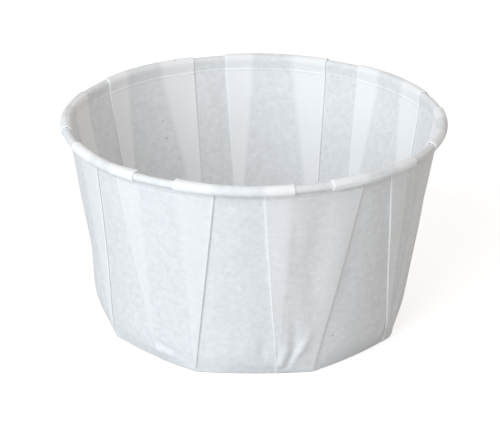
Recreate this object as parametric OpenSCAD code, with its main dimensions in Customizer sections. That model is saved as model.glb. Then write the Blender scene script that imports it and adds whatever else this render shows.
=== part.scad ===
// Pleated paper souffle cup: one round sheet of white paper, with a flat eight-sided base,
// a wall gathered in eight box pleats, and an edge rolled outwards into a round rim.
// Units are millimetres. The cup stands on the plane Z = 0, with its axis on Z.

/* [Cup] */
// Diameter over the rolled rim
rim_d = 68; // [64:0.5:74]
// Height from the table to the top of the rolled rim
cup_h = 38.2; // [34:0.2:44]
// Width of the flat base, from corner to opposite corner
base_d = 52.7; // [48:0.1:56]
// How far the sides of the base bow out beyond straight lines between its corners
side_bow = 0.7; // [0:0.1:1.2]
// Height over which the wall turns from the base's eight sides to a round cone
wall_round = 5; // [4:0.5:8]

/* [Rolled rim] */
// Thickness of the rolled rim in section
roll_d = 1.85; // [1.8:0.05:2.6]
// Drop from the top of the rim to the crease where the wall ends and its neck starts
shoulder_drop = 2.7; // [2.6:0.1:4]
// How far that crease stands out from the inner side of the roll
shoulder_step = 0.1; // [0:0.05:0.3]
// How far the sheet turns round inside the roll, from the neck to its cut edge, in degrees
roll_turn = 375; // [300:5:380]

/* [Paper] */
// Thickness of the sheet
paper_t = 0.1; // [0.06:0.01:0.12]
// Air between two plies that lie on each other in a pleat
ply_gap = 0.03; // [0.02:0.01:0.04]

/* [Pleats] */
// Number of box pleats, and so of sides of the base
pleats = 8; // [6:1:9]
// Direction of the first corner of the base, seen from above, in degrees from +X
first_corner = 202.6; // [180:0.1:225]
// How far each right-hand fold leans round the cup from its corner to the rim, in degrees
right_lean = 10.6; // [4:0.2:14]
// How far apart the two folds of a pleat stand at the base, in degrees
foot_span = 14; // [13:0.5:16]
// Share of a pleat's extra paper that lies in its right-hand fold
right_share = 0.57; // [0.5:0.01:0.6]

/* [Hidden] */

// The folding of a real cup is a little uneven. These are its drifts in degrees, pleat by pleat,
// going round from the pleat at the first corner.
right_top_drift = [1.5, 0, 1.3, 0.4, 0.3, -1.3, -1.5, 1.8];
right_foot_drift = [0, 0, 0, -1.5, -2, -3, -3, -1];
left_top_drift = [-1, -1, 1, -0.5, -2, 0.3, 1.3, -1.5];
left_foot_drift = [0, -3, 0, 8, 0, -2, -2.5, -2];

// Plies of a fold lie one paper and one gap apart, and three of them make its whole stack.
ply_pitch = paper_t + ply_gap;
stack_t = 3 * paper_t + 2 * ply_gap;

// The roll is a spiral that closes in by a little more than a stack for each turn.
roll_close = stack_t + 2 * ply_gap;
roll_start_r = (roll_d - stack_t + roll_close * 5 / 8) / 2;
roll_steps = 12;
roll_r = rim_d / 2 - (roll_start_r - roll_close / 4 + stack_t / 2);
roll_z = cup_h - (roll_start_r - roll_close / 16 + stack_t / 2);

// The wall ends in a crease at the shoulder, and from there its neck runs up to meet the roll.
shoulder_r = rim_d / 2 - roll_d + shoulder_step;
shoulder_z = cup_h - shoulder_drop;
to_roll = [roll_r - shoulder_r, roll_z - shoulder_z];
neck_a = atan2(to_roll[0], to_roll[1]) - asin(roll_start_r / norm(to_roll));

// The base is a regular polygon with bowed sides, and the wall leans out from its edge.
corner_r = (base_d - paper_t) / 2;
side_a = 360 / pleats;
flat_r = corner_r * cos(side_a / 2);
side_r = flat_r + side_bow;

// The flat blank is rounder than the cup by what the pleats take up, four plies' worth in a pleat.
blank_r = side_r + norm([shoulder_z, shoulder_r - side_r]);
pleat_a = 90 * (blank_r - shoulder_r) / (pleats * shoulder_r);
top_span = side_a / 2 + pleat_a;

// Levels of the wall, as shares of its height. The folds open out flat below the first share
// above zero and are closed from the next one up.
wall_levels = [0, 0.02, 0.06, wall_round / shoulder_z, 0.45, 0.75, 1];
roll_levels = [for (i = [0:roll_steps]) neck_a + i * roll_turn / roll_steps];
walls = len(wall_levels);
levels = walls + len(roll_levels);

// A fold has nine lines of the sheet, -4 to 4 in their order on the flat sheet. Three lie on each
// ply: on the fold's outer edge (0), half-way (0.5) and on its inner edge (1).
line_reach = [1, 0.5, 0, 0, 0.5, 1, 1, 0.5, 0];
lines = [for (pleat = [0:pleats - 1]) for (side = [-1, 1]) for (n = [-4:4]) [pleat, side, n]];
count = len(lines);
// At the foot of a fold its nine lines stand side by side this far apart.
foot_step = paper_t / 2;

function drift(list, pleat) = list[pleat % len(list)];
function between(a, b, share) = a + (b - a) * share;
function ring_point(r, az, z) = [r * cos(az), r * sin(az), z];
function turned(v, az) = [v[0] * cos(az), v[0] * sin(az), v[1]];
function azimuth(p) = atan2(p[1], p[0]);

// A line's place in its fold: how far in it lies, and which ply it is on (1 outer, -1 inner).
function reach(line) = line_reach[4 + line[1] * line[2]];
function ply(line) = abs(line[2]) < 2 ? 0 : -line[1] * sign(line[2]);

// Directions of a fold's outer edge at the base and at the rim, and how far round it folds.
function corner_az(pleat) = first_corner + pleat * side_a;
function foot_az(pleat, side) =
    side > 0 ? corner_az(pleat) + drift(right_foot_drift, pleat)
             : corner_az(pleat) - foot_span + drift(left_foot_drift, pleat);
function right_top_az(pleat) = corner_az(pleat) + right_lean + drift(right_top_drift, pleat);
function top_az(pleat, side) =
    side > 0 ? right_top_az(pleat)
             : right_top_az(pleat) - top_span + drift(left_top_drift, pleat);
function fold_a(side) = 2 * pleat_a * (side > 0 ? right_share : 1 - right_share);

// Edge of the base in a direction: a straight side, with its bow.
function side_turn(az) = let (a = (az - first_corner) / side_a) (a - floor(a) - 0.5) * side_a;
function base_edge_r(az) =
    let (turn = side_turn(az)) flat_r / cos(turn) + side_bow * (1 - pow(2 * turn / side_a, 2));

// How far round a fold's middle ply has turned over at a level: flat, on edge, or folded.
function fold_turn(level) = level == 0 ? 0 : level == 1 ? 90 : 180;
function line_foot_az(line, level) =
    let (spread = level == 0 ? line[2]
                : level == 1 && abs(line[2]) > 2 ? line[2] - 2 * sign(line[2])
                : 0)
    foot_az(line[0], line[1]) + spread * foot_step / flat_r * 180 / PI;
function line_top_az(line, level) =
    top_az(line[0], line[1]) - line[1] * (fold_turn(level) < 180 ? 0 : reach(line) * fold_a(line[1]));

// Middle of the sheet where a line crosses a level, before its ply is lifted off the others.
// The wall is a round cone, less what its foot stands in where the base has its sides.
function roll_spiral(a) = roll_start_r - roll_close * pow(a / 360, 2);
function roll_point(line, level) =
    let (a = roll_levels[level - walls], r = roll_spiral(a))
    ring_point(roll_r - r * cos(a), line_top_az(line, level), roll_z + r * sin(a));
function wall_point(line, level) =
    let (foot = line_foot_az(line, level),
         p = between(ring_point(corner_r, foot, paper_t / 2),
                     ring_point(shoulder_r, line_top_az(line, level), shoulder_z),
                     wall_levels[level]),
         flatness = max(0, 1 - wall_levels[level] * shoulder_z / wall_round))
    p - turned([(corner_r - base_edge_r(foot)) * pow(flatness, 2), 0], azimuth(p));
function middle(line, level) = level < walls ? wall_point(line, level) : roll_point(line, level);

// Outward normal of the cup's section above a level, as [out, up], and the mitred normal at it.
function section_a(line, level) =
    level < 0 ? 90
    : level < walls - 1 ?
        let (low = wall_point(line, level), high = wall_point(line, level + 1))
        atan2(norm([high[0], high[1]]) - norm([low[0], low[1]]), high[2] - low[2])
    : level < walls ? neck_a
    : neck_a + (level - walls + 0.5) * roll_turn / roll_steps;
function section_normal(line, level) =
    let (a = section_a(line, level)) [cos(a), -sin(a)];
function mitre(line, level) =
    let (below = section_normal(line, level - 1),
         above = section_normal(line, min(level, levels - 2)))
    (below + above) / (1 + below * above);

// How far a line's ply is lifted outwards, and where its outside face lies from its middle:
// share along the normal, and share along the way round.
function lift(line, level) =
    fold_turn(level) == 0 ? 0
    : fold_turn(level) == 90 ? -line[1] * max(-1, min(1, line[2] / 2)) * ply_pitch
    : ply(line) * ply_pitch;
function face_out(line, level) = abs(line[2]) < 2 ? cos(fold_turn(level)) : 1;
function face_round(line, level) =
    fold_turn(level) == 0 || abs(line[2]) > 2 ? 0
    : line[2] == 0 ? line[1] * sin(fold_turn(level))
    : line[1];

// Point of the sheet on its outside (1) or inside (-1) face.
function sheet_point(line, level, face) =
    let (p = middle(line, level), az = azimuth(p), half = face * paper_t / 2)
    p + turned(mitre(line, level), az) * (lift(line, level) + face_out(line, level) * half)
      + [-sin(az), cos(az), 0] * face_round(line, level) * half;

function at(face, level, n) = (face * levels + level) * count + n % count;
function flipped(tri) = [tri[2], tri[1], tri[0]];

// A four-sided patch between two lines and two levels, as two triangles. On a middle ply the
// patch is cut the other way, so that it lies flat against its neighbours.
function patch(face, level, n) =
    let (a = at(face, level, n), b = at(face, level, n + 1),
         c = at(face, level + 1, n + 1), d = at(face, level + 1, n),
         middle_ply = lines[n][2] == -1 || lines[n][2] == 0)
    middle_ply ? [[a, d, b], [d, c, b]] : [[a, d, c], [a, c, b]];

module cup() {
    outside = [for (level = [0:levels - 1]) for (line = lines) sheet_point(line, level, 1)];
    inside = [for (level = [0:levels - 1]) for (line = lines) sheet_point(line, level, -1)];
    below = 2 * levels * count;
    above = below + 1;
    outside_wall = [for (level = [0:levels - 2]) for (n = [0:count - 1]) each patch(0, level, n)];
    inside_wall = [for (level = [0:levels - 2]) for (n = [0:count - 1])
        for (tri = patch(1, level, n)) flipped(tri)];
    base = [for (n = [0:count - 1]) each [
        [below, at(0, 0, n), at(0, 0, n + 1)],
        [above, at(1, 0, n + 1), at(1, 0, n)]]];
    cut_edge = [for (n = [0:count - 1]) each [
        [at(0, levels - 1, n + 1), at(0, levels - 1, n), at(1, levels - 1, n)],
        [at(0, levels - 1, n + 1), at(1, levels - 1, n), at(1, levels - 1, n + 1)]]];
    color([0.93, 0.94, 0.95])
        polyhedron(
            points = concat(outside, inside, [[0, 0, 0], [0, 0, paper_t]]),
            faces = concat(outside_wall, inside_wall, base, cut_edge),
            convexity = 12);
}

cup();
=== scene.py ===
"""Looks of the pleated paper souffle cup: the folded sheet, its paper, and a plain studio."""

import math
from typing import NamedTuple

import bpy
import numpy as np
from bpy.props import FloatProperty, FloatVectorProperty, IntProperty, PointerProperty
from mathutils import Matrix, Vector


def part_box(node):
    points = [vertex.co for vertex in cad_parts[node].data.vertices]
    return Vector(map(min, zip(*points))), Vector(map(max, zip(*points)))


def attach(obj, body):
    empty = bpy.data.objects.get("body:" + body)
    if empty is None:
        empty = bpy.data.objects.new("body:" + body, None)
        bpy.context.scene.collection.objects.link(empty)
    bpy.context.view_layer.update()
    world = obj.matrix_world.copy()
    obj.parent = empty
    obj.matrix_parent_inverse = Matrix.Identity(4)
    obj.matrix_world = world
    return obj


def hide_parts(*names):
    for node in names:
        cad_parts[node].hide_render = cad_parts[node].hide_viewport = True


bl_info = {
    "name": "Pleated Paper Cup",
    "version": (1, 0, 0),
    "blender": (4, 5, 0),
    "location": "3D View > Sidebar > Paper Cup",
    "description": "Folds a round sheet of paper into a pleated cup with a rolled rim",
    "category": "Object",
}

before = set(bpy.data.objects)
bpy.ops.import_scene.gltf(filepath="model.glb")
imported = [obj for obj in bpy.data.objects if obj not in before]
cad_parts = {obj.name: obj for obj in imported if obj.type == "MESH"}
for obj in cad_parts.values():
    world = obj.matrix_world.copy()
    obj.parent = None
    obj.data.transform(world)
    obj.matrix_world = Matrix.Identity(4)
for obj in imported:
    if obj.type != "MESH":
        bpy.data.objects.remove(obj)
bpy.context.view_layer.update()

MM = 0.001
CUP_LOW, CUP_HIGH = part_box("cup")

# Metres by which the cup is drawn in, so that the waves of its rim stay inside the frame's box.
RIM_ROOM = 0.00018
TOP_ROOM = 0.00014

# Unevenness of the folds, in degrees, pleat by pleat round the cup.
RIGHT_TOP_DRIFT = (1.5, 0, 1.3, 0.4, 0.3, -1.3, -1.5, 1.8)
RIGHT_FOOT_DRIFT = (0, 0, 0, -1.5, -2, -3, -3, -1)
LEFT_TOP_DRIFT = (-1, -1, 1, -0.5, -2, 0.3, 1.3, -1.5)
LEFT_FOOT_DRIFT = (0, -3, 0, 8, 0, -2, -2.5, -2)

# Heights on the wall, as shares of it: the folds stand on edge at the first and are closed from the second.
FOLD_ON_EDGE = 0.02
FOLD_CLOSED = 0.06

# Lines of a fold on each of its plies: how far in from its outer edge they lie, as shares of the fold,
# and 1 where three plies lie together. The folded edges between two plies are round, in a few steps.
OUTER_PLY = ((1.12, 0), (0.9, 1), (0.6, 1), (0.3, 1), (0.12, 1), (0.04, 1))
MIDDLE_PLY = ((0.33, 1), (0.67, 1))
INNER_PLY = ((0.96, 1), (0.88, 1), (0.6, 1), (0.3, 1), (0.1, 1), (-0.12, 0))
ROUND_STEPS = 4

# Millimetres between neighbouring lines at the foot, where a fold lies flat and where it stands on edge.
FLAT_STEP = 0.02
EDGE_STEP = 0.01

# Width of the painted highlight along a folded edge, as a share of the fold.
HIGHLIGHT_WIDTH = 0.08

# Slack in telling one ply from the next by its lift, and the lift below which a line is on the inner ply,
# both in ply pitches.
PLY_SLACK = 0.01
INNER_LIFT = -0.5

# The folds spring open above the height where they close, and the rim holds them together again: slope of
# the opening, share of it that the rim takes back, from which height and how fast. The plies further in
# spring the other way, by a share.
SPRING_SLOPE = 8
RIM_HOLD = 0.6
RIM_HOLD_FROM = 0.8
RIM_HOLD_SLOPE = 5
INNER_SPRING = 0.3

# Rings of the base, as shares of its width, and of the bend at its edge.
BASE_RINGS = (0, 0.5, 0.93)
BEND_STEPS = 3

# Levels of the wall, as shares of its height, with more of them at the foot. The last few are given as
# millimetres below the shoulder, and those of the neck as shares of its way to the roll.
FOOT_LEVELS = (FOLD_ON_EDGE, 0.03, 0.04, 0.05, FOLD_CLOSED)
LOWER_TOP = 0.2
LOWER_STEPS = 10
UPPER_TOP = 0.985
UPPER_STEPS = 18
BELOW_SHOULDER = (0.32, 0.2, 0.12, 0.06, 0)
NECK_LEVELS = (0.035, 0.08, 0.18, 0.45, 0.75)

# The part of the roll that shows, in degrees round it, and the levels before it, along it and after it.
ROLL_SHOWN = (30, 240)
ROLL_LEVELS = (2, 24, 8)

# Width of a ply edge that stands up from the roll, in degrees round the roll.
FLAP_WIDTH = 13

# Heights in millimetres over which dents and unevenness fade in at the foot, and out below the rim.
DENTS_FADE = 1.2
UNEVEN_FADE = 6
QUIET_FROM = 36.5
QUIET_FADE = 4

# Crease at the shoulder, in millimetres: its width, its depth, and how much deeper the inner ply lies. Its
# middle lies below the shoulder by a share of its width.
SHOULDER_WIDTH = 0.12
SHOULDER_BELOW = 0.5
SHOULDER_DEPTH = 0.05
INNER_DEPTH = 0.03

# Neck between the shoulder and the roll, in millimetres: how far it stands out, and where that ends.
NECK_OUT = 0.05
NECK_TOP = 37
NECK_FADE = 1.3

# Millimetres above the table where the wave of the rim sets in, and over which it grows.
WAVE_FROM = 20
WAVE_FADE = 15

# Points nearer to each other than this, in metres, become one. Edges that turn by more degrees than
# this stay sharp.
MERGE_DISTANCE = 1e-8
SMOOTH_ANGLE = 50

# Shine of the paper, and its relief: strength, and depth in metres.
PAPER_IOR = 1.45
PAPER_SPECULAR = 0.35
RELIEF_STRENGTH = 0.25
RELIEF_DEPTH = 0.02 * MM

# Patterns in the pulp: how fine they are, and the distances between which a speck fades out.
CLOUD_DETAIL = 4
CLOUD_ROUGHNESS = 0.75
FIBRE_SCALE = 5200
FIBRE_DETAIL = 3
SPECK_SCALE = 150
SPECK_CORE = 0.018
SPECK_EDGE = 0.034

# How far the clouds darken and lighten the paper, how strongly the painted highlight on folded edges shows,
# and how strongly specks show.
CLOUD_FROM = (0.3, 0.7)
CLOUD_TO = (0.925, 1.075)
HIGHLIGHT_SHARE = 0.7
SPECK_SHARE = 0.6

# Places of the sockets of the Mix node when it mixes colours.
MIX_FACTOR = 0
MIX_A = 6
MIX_B = 7
MIX_RESULT = 2

# Studio, in metres: the key light's place, aim and size, and the floor, a hair below the cup.
KEY_PLACE = (-0.285, -0.405, 0.3)
KEY_TARGET = (0, 0, 0.02)
KEY_SIZE = 0.45
FLOOR_SIZE = 4
FLOOR_DROP = 0.02 * MM
FLOOR_ROUGHNESS = 0.9

# Camera: how far it looks down, in degrees, how far off, left and below the middle of the rim it stands,
# in rim radii, and its lens and sensor in millimetres.
CAMERA_TILT = 22.63
CAMERA_AWAY = 14
CAMERA_LEFT = 0.0198
CAMERA_BELOW = 0.4819
CAMERA_LENS = 189.7
CAMERA_SENSOR = 36
CAMERA_CLIP = 0.01


class Dent(NamedTuple):
    """A soft bulge of the wall, or a dent where `out` is less than nothing.

    `az` is a direction in degrees, and `lean` turns the long side off the upright, in degrees too. The
    rest is in millimetres, with `wide` and `tall` measured from the middle.
    """

    az: float
    z: float
    wide: float
    tall: float
    out: float
    lean: float = 0


class RollDent(NamedTuple):
    """A bulge of the rolled rim, or a dent where `out` is less than nothing.

    `az` and `round` are its direction and half length round the cup, `turn` and `wide` its place and half
    width round the roll, all in degrees. `out` is in millimetres.
    """

    az: float
    round: float
    turn: float
    wide: float
    out: float


class RimGap(NamedTuple):
    """A stretch under the rolled rim where the neck lies deeper: degrees, and millimetres for `deep`."""

    az: float
    half_width: float
    deep: float


class Wave(NamedTuple):
    """A gentle wave of the sheet.

    `high` is in millimetres, `round` is the number of waves round the cup, `rise` turns it for each
    millimetre of height, and `start` is where it begins. Both are in radians.
    """

    high: float
    round: float
    rise: float
    start: float


class Station(NamedTuple):
    """One line of a fold, seen across the fold.

    `reach` is how far in from the fold's outer edge it lies, as a share of the fold. `shift` and `lift` are
    in ply pitches, round the cup and outwards. `flat` and `edge` are millimetres along the foot, where
    the fold lies flat and where it stands on edge, and `edge_lift` is the lift on edge, in ply pitches.
    `plies` is 1 where three plies lie together.
    """

    reach: float
    shift: float
    lift: float
    flat: float
    edge_lift: float
    edge: float
    plies: float


class Fold(NamedTuple):
    """One of the two folds of a pleat.

    `side` is 1 for the right-hand fold and -1 for the left-hand one. `foot` and `top` are the directions
    of its outer edge, and `wide` is its width, all in radians. `spring` is a share of the usual spring, and
    `flap` has millimetres, and degrees round the roll.
    """

    side: int
    foot: float
    top: float
    wide: float
    spring: float
    flap: tuple


class Line(NamedTuple):
    """How one line of the sheet runs from foot to rim, or arrays of that for all lines.

    The first three are directions in radians: at the foot, at the rim before folding, and at the rim.
    `spring` is a share of the usual spring, and `under` grows from 0 to 1 across a fold's inner plies.
    `flap` is in millimetres, `flap_turn` in degrees and `sink` in metres. `crease` is 1 on a folded edge,
    where a highlight is painted.
    The rest is as in a station, turned to the side of its fold.
    """

    foot: float
    open_top: float
    top: float
    shift: float
    lift: float
    flat: float
    edge_lift: float
    edge: float
    spring: float
    under: float
    flap: float
    flap_turn: float
    crease: float
    plies: float
    sink: float


DENTS = (
    # Wall at the far left, pushed out from inside.
    Dent(az=188, z=6.9, wide=6.8, tall=5.4, out=0.9),
    # Long waves of the front panel.
    Dent(az=280, z=24, wide=1.4, tall=14, out=0.15),
    Dent(az=289.5, z=22, wide=1.7, tall=14, out=-0.2),
    Dent(az=298.5, z=22, wide=1.6, tall=14, out=0.14),
    # Edge of a pleat behind that stands in from the ply beside it.
    Dent(az=99.5, z=22, wide=2.2, tall=16, out=0.25),
    # Crumple at the foot of the front left fold.
    Dent(az=231.8, z=2.7, wide=0.8, tall=1, out=0.6, lean=-20),
    Dent(az=230.2, z=3.4, wide=0.4, tall=1, out=-0.4),
    Dent(az=232.8, z=4.3, wide=0.4, tall=1.2, out=-0.4, lean=-50),
    Dent(az=236.5, z=2.5, wide=0.4, tall=2, out=0.3, lean=-75),
    Dent(az=237.5, z=3.6, wide=0.45, tall=1.6, out=-0.35, lean=-70),
    # Crumples at the foot of the front right fold.
    Dent(az=284.6, z=7.4, wide=1, tall=2.6, out=-0.4, lean=-5),
    Dent(az=283.4, z=3.6, wide=0.6, tall=1.5, out=-0.45, lean=20),
    Dent(az=282, z=1.6, wide=0.5, tall=0.9, out=-0.3, lean=50),
    Dent(az=287.6, z=5.4, wide=0.7, tall=3, out=0.35, lean=28),
    Dent(az=281.4, z=4.4, wide=0.8, tall=2.4, out=0.25, lean=8),
    Dent(az=278.7, z=4.3, wide=0.35, tall=1.4, out=-0.25),
    Dent(az=280, z=2.4, wide=0.9, tall=0.6, out=0.25, lean=50),
    Dent(az=273.2, z=5.2, wide=0.7, tall=2.2, out=-0.4, lean=-4),
    Dent(az=275.5, z=1.9, wide=2.2, tall=0.6, out=0.1),
    # Crumple at the foot of the right fold.
    Dent(az=327.5, z=3.4, wide=0.7, tall=1.8, out=0.3, lean=25),
    Dent(az=332, z=4.2, wide=0.7, tall=1.8, out=-0.12, lean=25),
    # Bruises on a folded edge.
    Dent(az=296.4, z=23, wide=0.35, tall=0.8, out=0.08),
    Dent(az=296.6, z=19.5, wide=0.35, tall=0.6, out=0.1),
    Dent(az=295.8, z=16.5, wide=0.3, tall=0.7, out=0.08),
    # Small dimples at the feet of the folds behind.
    Dent(az=10, z=4, wide=0.6, tall=1.6, out=-0.25, lean=10),
    Dent(az=53.5, z=4, wide=0.6, tall=1.5, out=-0.25, lean=-15),
    Dent(az=98, z=3.5, wide=0.6, tall=1.4, out=-0.25, lean=15),
    Dent(az=143.5, z=3, wide=0.6, tall=1.3, out=-0.22, lean=20),
)

ROLL_DENTS = (
    # Crease along the crown of the rim at the far left.
    RollDent(az=160, round=17, turn=76, wide=11, out=-0.2),
    RollDent(az=188, round=5, turn=150, wide=70, out=0.12),
    # Creases along the rim at the front right and at the back.
    RollDent(az=306, round=9, turn=150, wide=13, out=-0.12),
    RollDent(az=299, round=5, turn=178, wide=9, out=-0.1),
    RollDent(az=318, round=8, turn=120, wide=9, out=-0.08),
    RollDent(az=84, round=6, turn=70, wide=12, out=-0.1),
    RollDent(az=330, round=9, turn=120, wide=14, out=-0.08),
)

# How far each fold springs open, pleat by pleat, as a share of the usual spring.
RIGHT_SPRING = (0.2, 1.2, 1.5, 1, 0.6, 0.6, 0.6, 0.6)
LEFT_SPRING = (1, 0.2, 3, 4, 1, 0.6, 0.6, 0.6)

# Ply edges that stand up from the roll, pleat by pleat: millimetres, and degrees round the roll.
RIGHT_FLAP = (
    (0.05, 60), (0.25, 52), (0.12, 165), (0.05, 60), (0.06, 60), (0.08, 80), (0.08, 70), (0.1, 90),
)
LEFT_FLAP = (
    (0.1, 80), (0.3, 50), (0.04, 60), (0.05, 100), (0.06, 60), (0.06, 80), (0.08, 60), (0.06, 70),
)

# Lines between one fold and the next round the cup: more where the front is crumpled.
BETWEEN_FOLDS = (8, 14, 24, 24, 38, 18, 14, 8, 7, 7, 7, 7, 7, 7, 7, 7)

# How far the single ply of each outer panel sinks in between the folded plies beside it, in millimetres,
# and the number of lines over which it does so next to a fold.
PANEL_SINK = (0.04, 0.05, 0.02, 0.22, 0.06, 0.06, 0.06, 0.06)
SINK_LINES = 2

RIM_GAPS = (
    RimGap(az=300, half_width=8, deep=0.3),
    RimGap(az=326, half_width=9, deep=0.3),
    RimGap(az=204, half_width=8, deep=0.06),
)

# Unevenness of the wall, and the wave of the rim outwards and upwards.
UNEVEN_WALL = (
    Wave(high=0.05, round=7, rise=0.16, start=0.5),
    Wave(high=0.035, round=19, rise=-0.23, start=2),
    Wave(high=0.02, round=31, rise=0.41, start=4),
)
RIM_OUT = (
    Wave(high=0.03, round=3, rise=0, start=1),
    Wave(high=0.02, round=8, rise=0, start=2),
)
RIM_UP = (
    Wave(high=0.03, round=2, rise=0, start=0.6),
    Wave(high=0.02, round=9, rise=0, start=0),
)


class CupSizes(bpy.types.PropertyGroup):
    """Sizes of the folded cup"""

    rim_d: FloatProperty(
        name="Rim diameter",
        description="Diameter over the rolled rim",
        default=round(CUP_HIGH.x - CUP_LOW.x, 4) - RIM_ROOM,
        unit="LENGTH",
    )
    height: FloatProperty(
        name="Height",
        description="Height from the table to the top of the rim",
        default=round(CUP_HIGH.z - CUP_LOW.z, 4) - TOP_ROOM,
        unit="LENGTH",
    )
    base_d: FloatProperty(
        name="Base width",
        description="Width of the flat base, from corner to opposite corner",
        default=0.0527,
        unit="LENGTH",
    )
    side_bow: FloatProperty(
        name="Side bow",
        description="How far the sides of the base bow out beyond straight lines",
        default=0.0007,
        unit="LENGTH",
    )
    wall_round: FloatProperty(
        name="Wall rounding",
        description="Height over which the wall turns from eight sides to a round cone",
        default=0.005,
        unit="LENGTH",
    )
    roll_d: FloatProperty(
        name="Roll thickness",
        description="Thickness of the rolled rim in section",
        default=0.00185,
        unit="LENGTH",
    )
    shoulder_drop: FloatProperty(
        name="Shoulder drop",
        description="Drop from the top of the rim to the crease where the wall ends",
        default=0.0027,
        unit="LENGTH",
    )
    shoulder_step: FloatProperty(
        name="Shoulder step",
        description="How far that crease stands out from the inner side of the roll",
        default=0.0001,
        unit="LENGTH",
    )
    foot_round: FloatProperty(
        name="Foot rounding",
        description="Radius of the bend between base and wall",
        default=0.00025,
        unit="LENGTH",
    )
    paper_t: FloatProperty(
        name="Paper thickness",
        description="Thickness of the sheet",
        default=0.0001,
        unit="LENGTH",
    )
    ply_gap: FloatProperty(
        name="Ply gap",
        description="Air between two plies of a pleat",
        default=0.00003,
        unit="LENGTH",
    )
    fold_spring: FloatProperty(
        name="Fold spring",
        description="How far the edge of a fold springs open from the ply beside it",
        default=0.00005,
        unit="LENGTH",
    )
    pleats: IntProperty(
        name="Pleats",
        description="Number of box pleats, and of sides of the base",
        default=8,
        min=6,
        max=9,
    )
    first_corner: FloatProperty(
        name="First corner",
        description="Direction of the first corner of the base, seen from above",
        default=math.radians(202.6),
        subtype="ANGLE",
    )
    right_lean: FloatProperty(
        name="Right-hand lean",
        description="How far each right-hand fold leans round the cup up to the rim",
        default=math.radians(10.6),
        subtype="ANGLE",
    )
    foot_span: FloatProperty(
        name="Foot span",
        description="How far apart the two folds of a pleat stand at the base",
        default=math.radians(14),
        subtype="ANGLE",
    )
    right_share: FloatProperty(
        name="Right-hand share",
        description="Share of a pleat's extra paper that lies in its right-hand fold",
        default=0.57,
        subtype="FACTOR",
    )
    roll_turn: FloatProperty(
        name="Roll turn",
        description="How far the sheet turns round inside the roll",
        default=math.radians(375),
        subtype="ANGLE",
    )


class PaperLooks(bpy.types.PropertyGroup):
    """Colours and finish of the paper"""

    single_ply: FloatVectorProperty(
        name="Single ply",
        description="Colour where one ply of paper shows",
        default=(0.825, 0.83, 0.835),
        subtype="COLOR",
    )
    triple_ply: FloatVectorProperty(
        name="Triple ply",
        description="Colour where three plies lie on each other",
        default=(0.94, 0.94, 0.94),
        subtype="COLOR",
    )
    # Painted light: the outside shows less of the folded plies' whiter look, for the light from the lit
    # inside that shines through a single ply.
    outside_share: FloatProperty(
        name="Outside share",
        description="How much of the folded plies' whiter look shows on the outside",
        default=0.45,
        subtype="FACTOR",
    )
    # Painted highlight: a whiter colour along the folded edges, for the bright line where their round backs
    # catch the light.
    crease: FloatVectorProperty(
        name="Crease",
        description="Colour of the worn edges of the folds",
        default=(0.98, 0.98, 0.98),
        subtype="COLOR",
    )
    speck: FloatVectorProperty(
        name="Speck",
        description="Colour of the few dark specks in the pulp",
        default=(0.25, 0.25, 0.26),
        subtype="COLOR",
    )
    roughness: FloatProperty(
        name="Roughness",
        description="Roughness of the paper's face",
        default=0.62,
        subtype="FACTOR",
    )
    cloud_size: FloatProperty(
        name="Cloud size",
        description="Size of the cloudy patches in the pulp",
        default=0.0011,
        unit="LENGTH",
    )


class StudioLooks(bpy.types.PropertyGroup):
    """Light and floor of the studio"""

    key_power: FloatProperty(
        name="Key light",
        description="Power of the large soft light on the left",
        default=2.32,
        unit="POWER",
    )
    key_colour: FloatVectorProperty(
        name="Key colour",
        description="Colour of the key light",
        default=(0.81, 0.91, 1),
        subtype="COLOR",
    )
    ambient: FloatProperty(
        name="Ambient",
        description="Strength of the even light from all round",
        default=0.54,
        subtype="FACTOR",
    )
    ambient_colour: FloatVectorProperty(
        name="Ambient colour",
        description="Colour of the light from all round",
        default=(1, 0.95, 0.905),
        subtype="COLOR",
    )
    floor_grey: FloatProperty(
        name="Floor",
        description="How much of the light the floor sends back",
        default=0.66,
        subtype="FACTOR",
    )
    floor_glow: FloatProperty(
        name="Floor glow",
        description="Light added to the floor for the camera alone, so that it shows white",
        default=0.62,
        subtype="FACTOR",
    )


def deselect_all():
    """Deselects everything, so that the next operator acts on the new object alone."""
    if bpy.context.object and bpy.context.object.mode != "OBJECT":
        bpy.ops.object.mode_set(mode="OBJECT")
    bpy.ops.object.select_all(action="DESELECT")


def ramp(value, start, slope):
    """Rises from 0 at the start to 1, and stays there."""
    return min(1, max(0, value - start) * slope)


def hump(across, along=0):
    """A smooth hump: 1 in its middle, and next to nothing two widths away."""
    return np.exp(-(across**2) - along**2)


def degrees_from(middle, az):
    """Way round the cup from a direction to others, from -180 to 180 degrees."""
    return np.mod(az - middle + 180, 360) - 180


def sum_of_waves(waves, turn, z):
    """Height of waves laid over each other, in millimetres."""
    return sum(wave.high * np.sin(wave.round * turn + wave.rise * z + wave.start) for wave in waves)


def fold_stations():
    """Lines of one fold, from its outer ply to its inner one."""
    bend = [math.pi * i / ROUND_STEPS for i in range(ROUND_STEPS + 1)]
    rows = [(reach, 0, 1, plies) for reach, plies in OUTER_PLY]
    rows += [(0, (math.sin(a) - 1) / 2, (1 + math.cos(a)) / 2, 1) for a in bend]
    rows += [(reach, 0, 0, plies) for reach, plies in MIDDLE_PLY]
    rows += [(1, (1 - math.sin(a)) / 2, (math.cos(a) - 1) / 2, 1) for a in bend]
    rows += [(reach, 0, -1, plies) for reach, plies in INNER_PLY]
    turn_lines = len(rows) - len(OUTER_PLY) - len(INNER_PLY)
    stations = []
    for i, (reach, shift, lift, plies) in enumerate(rows):
        order = i - (len(rows) - 1) / 2
        share = min(1, max(0, (i - len(OUTER_PLY) + 1) / (turn_lines + 1)))
        edge_lift = math.cos(math.pi * share)
        stations.append(
            Station(reach, shift, lift, order * FLAT_STEP, edge_lift, order * EDGE_STEP, plies)
        )
    return stations


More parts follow.
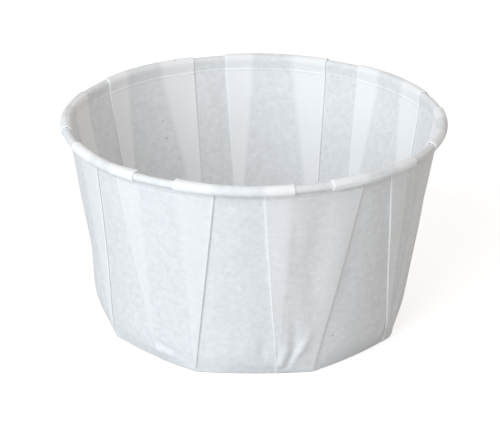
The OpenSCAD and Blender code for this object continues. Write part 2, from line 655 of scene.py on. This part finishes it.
def spring_share(fold, station):
    """How far a line springs open, from 1 at the fold's outer edge down to nothing further in.

    The outer ply does, and in a right-hand fold the middle one too.
    """
    if station.lift <= -PLY_SLACK:
        return 0
    held = max(0, station.lift) if fold.side < 0 else 1
    return max(0, 1 - station.reach) ** 3 * held


def fold_line(fold, station):
    """The line of the sheet at one station of a fold."""
    side, reach = fold.side, station.reach
    flap_out, flap_turn = fold.flap
    under = min(1, max(0, reach)) if station.lift < PLY_SLACK else 0
    # Share of the painted highlight along the folded edges.
    crease = max(0, 1 - min(reach, 1 - reach) / HIGHLIGHT_WIDTH) if 0 <= reach <= 1 else 0
    return Line(
        foot=fold.foot,
        open_top=fold.top,
        top=fold.top - side * reach * fold.wide,
        shift=side * station.shift,
        lift=station.lift,
        flat=side * station.flat,
        edge_lift=station.edge_lift,
        edge=side * station.edge,
        spring=spring_share(fold, station) * fold.spring,
        under=under**3,
        flap=under * flap_out,
        flap_turn=flap_turn,
        crease=crease,
        plies=station.plies,
        sink=0,
    )


def fill_between(lines):
    """Turns each run of sinks into lines shared out evenly between the folds on either side."""
    known = [i for i, line in enumerate(lines) if isinstance(line, Line)]
    rows = []
    for i, after in zip(known, known[1:] + [len(lines)]):
        low = np.array(lines[i])
        high = np.array(lines[after % len(lines)])
        if after == len(lines):
            # The first line comes again after the last, with its three directions a full turn on.
            high[:3] += 2 * math.pi
        for k in range(after - i):
            row = low + (high - low) * k / (after - i)
            if k > 0:
                row[-1] = lines[i + k] * min(1, k / SINK_LINES, (after - i - k) / SINK_LINES)
            rows.append(row)
    return np.array(rows)


class FoldedSheet:
    """Places of every line and level of the sheet, worked out from the cup's sizes. Lengths are metres."""

    def __init__(self, sizes):
        self.sizes = sizes
        self.pitch = sizes.paper_t + sizes.ply_gap
        stack_t = 3 * sizes.paper_t + 2 * sizes.ply_gap
        # The roll is a spiral that closes in with the square of its turn, by `close` in a full one. It has
        # closed in by 1/16 of that at its top, 1/4 at its outermost point and 9/16 at its bottom.
        self.close = stack_t + 2 * sizes.ply_gap
        self.start_r = (sizes.roll_d - stack_t + self.close * 5 / 8) / 2
        self.roll_r = sizes.rim_d / 2 - (self.start_r - self.close / 4 + stack_t / 2)
        self.roll_z = sizes.height - (self.start_r - self.close / 16 + stack_t / 2)
        self.shoulder_r = sizes.rim_d / 2 - sizes.roll_d + sizes.shoulder_step
        self.shoulder_z = sizes.height - sizes.shoulder_drop
        out, up = self.roll_r - self.shoulder_r, self.roll_z - self.shoulder_z
        self.neck = math.atan2(out, up) - math.asin(self.start_r / math.hypot(out, up))
        self.side = 2 * math.pi / sizes.pleats
        self.corner_r = (sizes.base_d - sizes.paper_t) / 2
        self.flat_r = self.corner_r * math.cos(self.side / 2)
        self.wall_slope = (self.shoulder_r - self.corner_r) / self.shoulder_z
        # The flat blank is rounder than the cup by what the pleats take up.
        side_r = self.flat_r + sizes.side_bow
        blank_r = side_r + math.hypot(self.shoulder_z, self.shoulder_r - side_r)
        self.pleat = math.pi / 2 * (blank_r - self.shoulder_r) / (sizes.pleats * self.shoulder_r)
        self.top_span = self.side / 2 + self.pleat
        self.lay_lines()

    def lay_lines(self):
        """Works out, line by line round the cup, how the line runs from foot to rim."""
        sizes = self.sizes
        stations = fold_stations()
        left_fold = 2 * self.pleat * (1 - sizes.right_share)
        right_fold = 2 * self.pleat * sizes.right_share
        lines = []
        for pleat in range(sizes.pleats):
            own = pleat % len(PANEL_SINK)
            corner = sizes.first_corner + pleat * self.side
            right_foot = corner + math.radians(RIGHT_FOOT_DRIFT[own])
            right_top = corner + sizes.right_lean + math.radians(RIGHT_TOP_DRIFT[own])
            left_top = right_top - self.top_span + math.radians(LEFT_TOP_DRIFT[own])
            left_foot = corner - sizes.foot_span + math.radians(LEFT_FOOT_DRIFT[own])
            folds = (
                Fold(-1, left_foot, left_top, left_fold, LEFT_SPRING[own], LEFT_FLAP[own]),
                Fold(1, right_foot, right_top, right_fold, RIGHT_SPRING[own], RIGHT_FLAP[own]),
            )
            sinks = (PANEL_SINK[own] * MM, 0)
            for fold, sink, gap_lines in zip(folds, sinks, BETWEEN_FOLDS[2 * own : 2 * own + 2]):
                lines += [fold_line(fold, station) for station in stations[:: fold.side]]
                lines += [sink] * gap_lines
        rows = fill_between(lines)
        self.count = len(rows)
        self.line = Line(*rows.T)

    def base_edge(self, az):
        """Distance from the axis to the edge of the base in each direction."""
        turn = np.mod(az - self.sizes.first_corner, self.side) - self.side / 2
        return self.flat_r / np.cos(turn) + self.sizes.side_bow * (1 - (2 * turn / self.side) ** 2)

    def lifted(self, p, slope, lift, shift):
        """Points moved off the middle of the sheet: along its normal, and round the cup."""
        r = np.hypot(p[:, 0], p[:, 1])
        out, up = np.cos(slope), -np.sin(slope)
        x, y = p[:, 0] / r, p[:, 1] / r
        return p + np.stack([x * out * lift - y * shift, y * out * lift + x * shift, up * lift], axis=1)

    def on_wall(self, foot, top, share, lift, shift):
        """Points of the wall at a share of its height: a round cone, less what its foot stands in."""
        low = np.stack([self.corner_r * np.cos(foot), self.corner_r * np.sin(foot)], axis=1)
        high = np.stack([self.shoulder_r * np.cos(top), self.shoulder_r * np.sin(top)], axis=1)
        flat = low + (high - low) * share
        r = np.hypot(flat[:, 0], flat[:, 1])
        flatness = max(0, 1 - share * self.shoulder_z / self.sizes.wall_round)
        dip = self.corner_r - self.base_edge(foot)
        wall_r = r - dip * flatness**2
        half = self.sizes.paper_t / 2
        z = np.full(self.count, half + (self.shoulder_z - half) * share)
        p = np.stack([flat[:, 0] * wall_r / r, flat[:, 1] * wall_r / r, z], axis=1)
        slope = np.arctan(self.wall_slope + 2 * dip * flatness / self.sizes.wall_round)
        return self.lifted(p, slope, lift * self.pitch, shift * self.pitch)

    def wall_ring(self, share):
        """One level of the wall at a share of its height, with its folds as far closed as there."""
        line = self.line
        held = 1 - RIM_HOLD * ramp(share, RIM_HOLD_FROM, RIM_HOLD_SLOPE)
        opened = ramp(share, FOLD_CLOSED, SPRING_SLOPE) * held
        spring = self.sizes.fold_spring * (line.spring - INNER_SPRING * line.under)
        lift = line.lift + (spring - line.sink) / self.pitch * opened
        closed = self.on_wall(line.foot, line.top, max(share, FOLD_CLOSED), lift, line.shift)
        if share >= FOLD_CLOSED:
            return closed
        turn = MM / self.flat_r
        on_edge = self.on_wall(
            line.foot + line.edge * turn, line.open_top, FOLD_ON_EDGE, line.edge_lift, 0
        )
        if share >= FOLD_ON_EDGE:
            return on_edge + (closed - on_edge) * (share - FOLD_ON_EDGE) / (FOLD_CLOSED - FOLD_ON_EDGE)
        level = self.on_wall(line.foot + line.flat * turn, line.open_top, 0, 0, 0)
        return level + (on_edge - level) * share / FOLD_ON_EDGE

    def base_ring(self, share):
        """One ring of the flat base."""
        ring = self.wall_ring(0)
        ring[:, :2] *= share
        return ring

    def roll_ring(self, a):
        """One ring of the rolled rim, at an angle round the roll."""
        line = self.line
        r = self.start_r - self.close * (a / (2 * math.pi)) ** 2
        ring_r, z = self.roll_r - r * math.cos(a), self.roll_z + r * math.sin(a)
        p = np.stack([ring_r * np.cos(line.top), ring_r * np.sin(line.top), np.full(self.count, z)], axis=1)
        out = line.flap * hump((math.degrees(a) - line.flap_turn) / FLAP_WIDTH)
        for dent in ROLL_DENTS:
            across = degrees_from(dent.az, np.degrees(line.top)) / dent.round
            out = out + dent.out * hump(across, (math.degrees(a) - dent.turn) / dent.wide)
        return self.lifted(p, a, line.lift * self.pitch - out * MM, line.shift * self.pitch)

    def dents_at(self, az, r, z):
        """How far the bulges and dents move the wall outwards, in millimetres."""
        out = np.zeros(len(z))
        for dent in DENTS:
            right = np.radians(degrees_from(dent.az, az)) * r / MM
            up = z - dent.z
            lean = math.radians(dent.lean)
            across = (right * math.cos(lean) - up * math.sin(lean)) / dent.wide
            along = (right * math.sin(lean) + up * math.cos(lean)) / dent.tall
            out += dent.out * hump(across, along)
        return out

    def dented(self, ring):
        """A ring with the bulges, dents and creases of a handled cup. All plies move together in a dent."""
        r = np.hypot(ring[:, 0], ring[:, 1])
        az = np.degrees(np.arctan2(ring[:, 1], ring[:, 0]))
        z = ring[:, 2] / MM
        out = self.dents_at(az, r, z) * np.clip(z / DENTS_FADE, 0, 1)
        out += sum_of_waves(UNEVEN_WALL, np.radians(az), z) * np.clip(z / UNEVEN_FADE, 0, 1)
        out *= np.clip((QUIET_FROM - z) / QUIET_FADE, 0, 1)
        above_shoulder = (z - self.shoulder_z / MM) / SHOULDER_WIDTH
        inner_ply = self.line.lift < INNER_LIFT
        out -= (SHOULDER_DEPTH + INNER_DEPTH * inner_ply) * hump(above_shoulder + SHOULDER_BELOW)
        neck = np.clip(above_shoulder, 0, 1) * np.clip((NECK_TOP - z) / NECK_FADE, 0, 1)
        out += NECK_OUT * neck
        for gap in RIM_GAPS:
            out -= gap.deep * hump(degrees_from(gap.az, az) / gap.half_width) * neck
        dented = ring.copy()
        dented[:, :2] *= ((r + out * MM) / np.maximum(r, MM))[:, None]
        return dented

    def settled(self, rings):
        """The rings with the gentle wave that the rim takes when the cup is handled."""
        turn = np.arctan2(rings[..., 1], rings[..., 0])
        z = rings[..., 2] / MM
        share = np.clip((z - WAVE_FROM) / WAVE_FADE, 0, 1)
        share = share * share * (3 - 2 * share)
        out = sum_of_waves(RIM_OUT, turn, z) * share
        up = sum_of_waves(RIM_UP, turn, z) * share
        rings[..., 0] += out * MM * np.cos(turn)
        rings[..., 1] += out * MM * np.sin(turn)
        rings[..., 2] += up * MM
        return rings

    def bend_rings(self):
        """Rings of the rounded bend between the base and the wall."""
        bend = self.sizes.foot_round
        corner = self.wall_ring(0)
        wall_foot = self.wall_ring(bend / self.shoulder_z)
        rings = []
        for t in np.arange(BEND_STEPS) / BEND_STEPS:
            inner = corner.copy()
            inner[:, :2] *= 1 - bend * (1 - t) ** 2 / self.flat_r
            rings.append(inner + (wall_foot - corner) * t * t)
        return rings

    def wall_levels(self):
        """Levels of the wall as shares of its height, from the bend at its foot to the shoulder."""
        lower = np.linspace(FOLD_CLOSED, LOWER_TOP, LOWER_STEPS + 1)[1:]
        upper = np.linspace(LOWER_TOP, UPPER_TOP, UPPER_STEPS + 1)[1:]
        crease = [1 - below * MM / self.shoulder_z for below in BELOW_SHOULDER]
        return [self.sizes.foot_round / self.shoulder_z, *FOOT_LEVELS, *lower, *upper, *crease]

    def roll_levels(self):
        """Levels of the roll as angles round it, from the neck to the cut edge inside."""
        shown_from, shown_to = [math.radians(a) for a in ROLL_SHOWN]
        before, along, after = ROLL_LEVELS
        end = self.neck + self.sizes.roll_turn
        return [
            *np.linspace(self.neck, shown_from, before, endpoint=False),
            *np.linspace(shown_from, shown_to, along, endpoint=False),
            *np.linspace(shown_to, end, after),
        ]

    def rings(self):
        """All rings of the sheet, from the middle of the base to the cut edge inside the roll."""
        base = [self.base_ring(share) for share in BASE_RINGS]
        wall = [self.wall_ring(share) for share in self.wall_levels()]
        roll = [self.roll_ring(a) for a in self.roll_levels()]
        neck = [wall[-1] + (roll[0] - wall[-1]) * share for share in NECK_LEVELS]
        upright = [self.dented(ring) for ring in wall + neck]
        return self.settled(np.array(base + self.bend_rings() + upright + roll))


def make_sheet_mesh(sheet):
    """Adds a flat grid with one row for each ring and folds it: each point goes to its place."""
    rings = sheet.rings()
    levels, count = rings.shape[:2]
    deselect_all()
    bpy.ops.mesh.primitive_grid_add(x_subdivisions=count, y_subdivisions=levels - 1, size=sheet.sizes.rim_d)
    cup = bpy.context.object
    points = np.concatenate([rings, rings[:, :1]], axis=1)
    cup.data.vertices.foreach_set("co", points.astype(np.float32).ravel())
    for name, values in (("plies", sheet.line.plies), ("crease", sheet.line.crease)):
        share = np.tile(np.append(values, values[0]), (levels, 1))
        # The base and the bend at its edge look like one plain ply.
        share[: len(BASE_RINGS) + BEND_STEPS] = 0
        attribute = cup.data.attributes.new(name, "FLOAT", "POINT")
        attribute.data.foreach_set("value", share.astype(np.float32).ravel())
    cup.data.update()
    bpy.ops.object.mode_set(mode="EDIT")
    bpy.ops.mesh.select_all(action="SELECT")
    bpy.ops.mesh.remove_doubles(threshold=MERGE_DISTANCE)
    bpy.ops.mesh.normals_make_consistent(inside=False)
    bpy.ops.object.mode_set(mode="OBJECT")
    return cup


def give_thickness(cup, thickness):
    """Turns the folded surface into paper of a real thickness."""
    solidify = cup.modifiers.new("Paper", "SOLIDIFY")
    solidify.thickness = thickness
    solidify.offset = 0
    solidify.use_quality_normals = True
    bpy.ops.object.modifier_apply(modifier=solidify.name)
    bpy.ops.object.shade_smooth_by_angle(angle=math.radians(SMOOTH_ANGLE))


def paint_light_through_outside(cup, share):
    """Keeps only a share of the whiter look of three plies on the outside of the sheet. The whiter look is
    the stack's own; its weaker showing outside is painted light, for the light from the lit inside that
    shines through a single ply.

    Its vertices are the second half of all, in the order that the solidify modifier gives them.
    """
    plies = np.empty(len(cup.data.vertices), np.float32)
    cup.data.attributes["plies"].data.foreach_get("value", plies)
    plies[len(plies) // 2 :] *= share
    cup.data.attributes["plies"].data.foreach_set("value", plies)


def group_socket(group, name, into):
    """Adds a named number socket to a shader node group."""
    group.interface.new_socket(name=name, in_out=into, socket_type="NodeSocketFloat")


def mix_colour(nodes, links, a, b, factor, blend="MIX"):
    """Mix node of two colours. Each argument is a socket, or a value for the socket."""
    mix = nodes.new("ShaderNodeMix")
    mix.data_type = "RGBA"
    mix.blend_type = blend
    for place, value in ((MIX_A, a), (MIX_B, b), (MIX_FACTOR, factor)):
        if isinstance(value, bpy.types.NodeSocket):
            links.new(value, mix.inputs[place])
        else:
            mix.inputs[place].default_value = value
    return mix.outputs[MIX_RESULT]


def range_of(nodes, links, value, low, high, to_low, to_high):
    """Map Range node from low..high to to_low..to_high."""
    node = nodes.new("ShaderNodeMapRange")
    for name, number in (("From Min", low), ("From Max", high), ("To Min", to_low), ("To Max", to_high)):
        node.inputs[name].default_value = number
    links.new(value, node.inputs["Value"])
    return node.outputs["Result"]


def pulp_group():
    """Node group of paper pulp: clouds round a value of 0.5, fine fibres for relief, and specks."""
    group = bpy.data.node_groups.new("Paper Pulp", "ShaderNodeTree")
    group_socket(group, "Cloud Scale", "INPUT")
    for name in ("Cloud", "Fibre", "Speck"):
        group_socket(group, name, "OUTPUT")
    nodes, links = group.nodes, group.links
    start = nodes.new("NodeGroupInput")
    end = nodes.new("NodeGroupOutput")
    place = nodes.new("ShaderNodeTexCoord")
    cloud = nodes.new("ShaderNodeTexNoise")
    cloud.inputs["Detail"].default_value = CLOUD_DETAIL
    cloud.inputs["Roughness"].default_value = CLOUD_ROUGHNESS
    links.new(start.outputs["Cloud Scale"], cloud.inputs["Scale"])
    fibre = nodes.new("ShaderNodeTexNoise")
    fibre.inputs["Scale"].default_value = FIBRE_SCALE
    fibre.inputs["Detail"].default_value = FIBRE_DETAIL
    speck = nodes.new("ShaderNodeTexVoronoi")
    speck.inputs["Scale"].default_value = SPECK_SCALE
    for pattern in (cloud, fibre, speck):
        links.new(place.outputs["Object"], pattern.inputs["Vector"])
    near = range_of(nodes, links, speck.outputs["Distance"], SPECK_CORE, SPECK_EDGE, 1, 0)
    links.new(cloud.outputs["Fac"], end.inputs["Cloud"])
    links.new(fibre.outputs["Fac"], end.inputs["Fibre"])
    links.new(near, end.inputs["Speck"])
    return group


def paper_material(looks):
    """White paper: greyer and cloudy where one ply shows, whiter and smoother where three lie together."""
    material = bpy.data.materials.new("white_paper")
    material.use_nodes = True
    nodes, links = material.node_tree.nodes, material.node_tree.links
    shader = nodes["Principled BSDF"]
    shader.inputs["Roughness"].default_value = looks.roughness
    shader.inputs["IOR"].default_value = PAPER_IOR
    shader.inputs["Specular IOR Level"].default_value = PAPER_SPECULAR
    pulp = nodes.new("ShaderNodeGroup")
    pulp.node_tree = pulp_group()
    pulp.inputs["Cloud Scale"].default_value = 1 / looks.cloud_size
    plies = nodes.new("ShaderNodeAttribute")
    plies.attribute_name = "plies"
    cloudy = range_of(nodes, links, pulp.outputs["Cloud"], *CLOUD_FROM, *CLOUD_TO)
    grey = nodes.new("ShaderNodeCombineColor")
    for channel in ("Red", "Green", "Blue"):
        links.new(cloudy, grey.inputs[channel])
    single = mix_colour(nodes, links, (*looks.single_ply, 1), grey.outputs["Color"], 1.0, "MULTIPLY")
    folded = mix_colour(nodes, links, single, (*looks.triple_ply, 1), plies.outputs["Fac"])
    # Painted highlight: the folded edges are mixed towards a whiter colour than the paper has.
    crease = nodes.new("ShaderNodeAttribute")
    crease.attribute_name = "crease"
    highlit = range_of(nodes, links, crease.outputs["Fac"], 0, 1, 0, HIGHLIGHT_SHARE)
    paper = mix_colour(nodes, links, folded, (*looks.crease, 1), highlit)
    specked = range_of(nodes, links, pulp.outputs["Speck"], 0, 1, 0, SPECK_SHARE)
    dirty = mix_colour(nodes, links, paper, (*looks.speck, 1), specked)
    links.new(dirty, shader.inputs["Base Color"])
    bump = nodes.new("ShaderNodeBump")
    bump.inputs["Strength"].default_value = RELIEF_STRENGTH
    bump.inputs["Distance"].default_value = RELIEF_DEPTH
    links.new(pulp.outputs["Fibre"], bump.inputs["Height"])
    links.new(bump.outputs["Normal"], shader.inputs["Normal"])
    return material


class PAPERCUP_OT_fold_cup(bpy.types.Operator):
    """Fold the sheet into the pleated cup with its rolled rim"""

    bl_idname = "papercup.fold_cup"
    bl_label = "Fold Cup"

    def execute(self, context):
        sizes = context.scene.cup_sizes
        sheet = FoldedSheet(sizes)
        cup = make_sheet_mesh(sheet)
        cup.name = cup.data.name = "folded_cup"
        give_thickness(cup, sizes.paper_t)
        # Painted light through the sheet: the outside shows less of the folded plies' whiter look.
        paint_light_through_outside(cup, context.scene.paper_looks.outside_share)
        cup.data.materials.clear()
        cup.data.materials.append(paper_material(context.scene.paper_looks))
        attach(cup, "root")
        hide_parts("cup")
        return {"FINISHED"}


def white_floor(studio):
    """Floor material: shows white to the camera, and keeps the cup's soft shadow."""
    material = bpy.data.materials.new("studio_floor")
    material.use_nodes = True
    nodes, links = material.node_tree.nodes, material.node_tree.links
    shader = nodes["Principled BSDF"]
    shader.inputs["Base Color"].default_value = (*[studio.floor_grey] * 3, 1)
    shader.inputs["Roughness"].default_value = FLOOR_ROUGHNESS
    glow = nodes.new("ShaderNodeEmission")
    add = nodes.new("ShaderNodeAddShader")
    path = nodes.new("ShaderNodeLightPath")
    strength = nodes.new("ShaderNodeMath")
    strength.operation = "MULTIPLY"
    strength.inputs[1].default_value = studio.floor_glow
    links.new(path.outputs["Is Camera Ray"], strength.inputs[0])
    links.new(strength.outputs["Value"], glow.inputs["Strength"])
    links.new(shader.outputs["BSDF"], add.inputs[0])
    links.new(glow.outputs["Emission"], add.inputs[1])
    links.new(add.outputs["Shader"], nodes["Material Output"].inputs["Surface"])
    return material


def white_world(studio):
    """World that lights evenly at a plain level, and shows white to the camera and in reflections."""
    world = bpy.data.worlds.new("studio")
    bpy.context.scene.world = world
    world.use_nodes = True
    nodes, links = world.node_tree.nodes, world.node_tree.links
    background = nodes["Background"]
    path = nodes.new("ShaderNodeLightPath")
    camera = nodes.new("ShaderNodeMath")
    camera.operation = "MAXIMUM"
    links.new(path.outputs["Is Camera Ray"], camera.inputs[0])
    links.new(path.outputs["Is Glossy Ray"], camera.inputs[1])
    seen = camera.outputs["Value"]
    strength = range_of(nodes, links, seen, 0, 1, studio.ambient, 1)
    links.new(strength, background.inputs["Strength"])
    colour = mix_colour(nodes, links, (*studio.ambient_colour, 1), (1, 1, 1, 1), seen)
    links.new(colour, background.inputs["Color"])


def add_key_light(studio):
    """Large square lamp on the left, turned to the cup."""
    deselect_all()
    bpy.ops.object.light_add(type="AREA", location=KEY_PLACE)
    lamp = bpy.context.object
    lamp.name = lamp.data.name = "key_light"
    lamp.data.energy = studio.key_power
    lamp.data.color = studio.key_colour
    lamp.data.size = KEY_SIZE
    lamp.rotation_euler = (Vector(KEY_TARGET) - Vector(KEY_PLACE)).to_track_quat("-Z", "Y").to_euler()


def add_camera(sizes):
    """Camera at the photograph's viewing angle: a long lens, a little above the rim."""
    rim_r = (sizes.rim_d - sizes.roll_d) / 2
    rim_z = sizes.height - sizes.roll_d / 2
    tilt = math.radians(CAMERA_TILT)
    forward = Vector((0, math.cos(tilt), -math.sin(tilt)))
    up = Vector((0, math.sin(tilt), math.cos(tilt)))
    right = Vector((1, 0, 0))
    to_rim = CAMERA_AWAY * forward + CAMERA_LEFT * right + CAMERA_BELOW * up
    deselect_all()
    bpy.ops.object.camera_add(location=Vector((0, 0, rim_z)) - rim_r * to_rim)
    camera = bpy.context.object
    camera.name = "photo_camera"
    camera.rotation_euler = (math.pi / 2 - tilt, 0, 0)
    camera.data.sensor_width = CAMERA_SENSOR
    camera.data.lens = CAMERA_LENS
    camera.data.clip_start = CAMERA_CLIP
    bpy.context.scene.camera = camera


class PAPERCUP_OT_build_studio(bpy.types.Operator):
    """Set up the floor, the soft light and the camera"""

    bl_idname = "papercup.build_studio"
    bl_label = "Build Studio"

    def execute(self, context):
        studio = context.scene.studio_looks
        deselect_all()
        bpy.ops.mesh.primitive_plane_add(size=FLOOR_SIZE, location=(0, 0, -FLOOR_DROP))
        floor = bpy.context.object
        floor.name = "studio_floor"
        floor.data.materials.append(white_floor(studio))
        white_world(studio)
        add_key_light(studio)
        context.scene.view_settings.view_transform = "Standard"
        add_camera(context.scene.cup_sizes)
        return {"FINISHED"}


class PAPERCUP_PT_panel(bpy.types.Panel):
    """Sidebar panel that lists the cup's steps"""

    bl_label = "Paper Cup"
    bl_idname = "PAPERCUP_PT_panel"
    bl_space_type = "VIEW_3D"
    bl_region_type = "UI"
    bl_category = "Paper Cup"

    def draw(self, context):
        for group in (context.scene.cup_sizes, context.scene.paper_looks, context.scene.studio_looks):
            box = self.layout.box()
            for name in group.__annotations__:
                box.prop(group, name)
        for operator in OPERATORS:
            self.layout.operator(operator.bl_idname)


OPERATORS = (PAPERCUP_OT_fold_cup, PAPERCUP_OT_build_studio)
CLASSES = (CupSizes, PaperLooks, StudioLooks, *OPERATORS, PAPERCUP_PT_panel)


def register():
    for cls in CLASSES:
        bpy.utils.register_class(cls)
    bpy.types.Scene.cup_sizes = PointerProperty(type=CupSizes)
    bpy.types.Scene.paper_looks = PointerProperty(type=PaperLooks)
    bpy.types.Scene.studio_looks = PointerProperty(type=StudioLooks)


def unregister():
    del bpy.types.Scene.cup_sizes
    del bpy.types.Scene.paper_looks
    del bpy.types.Scene.studio_looks
    for cls in reversed(CLASSES):
        bpy.utils.unregister_class(cls)


def main():
    register()
    bpy.ops.papercup.fold_cup()
    bpy.ops.papercup.build_studio()


if __name__ == "__main__":
    main()
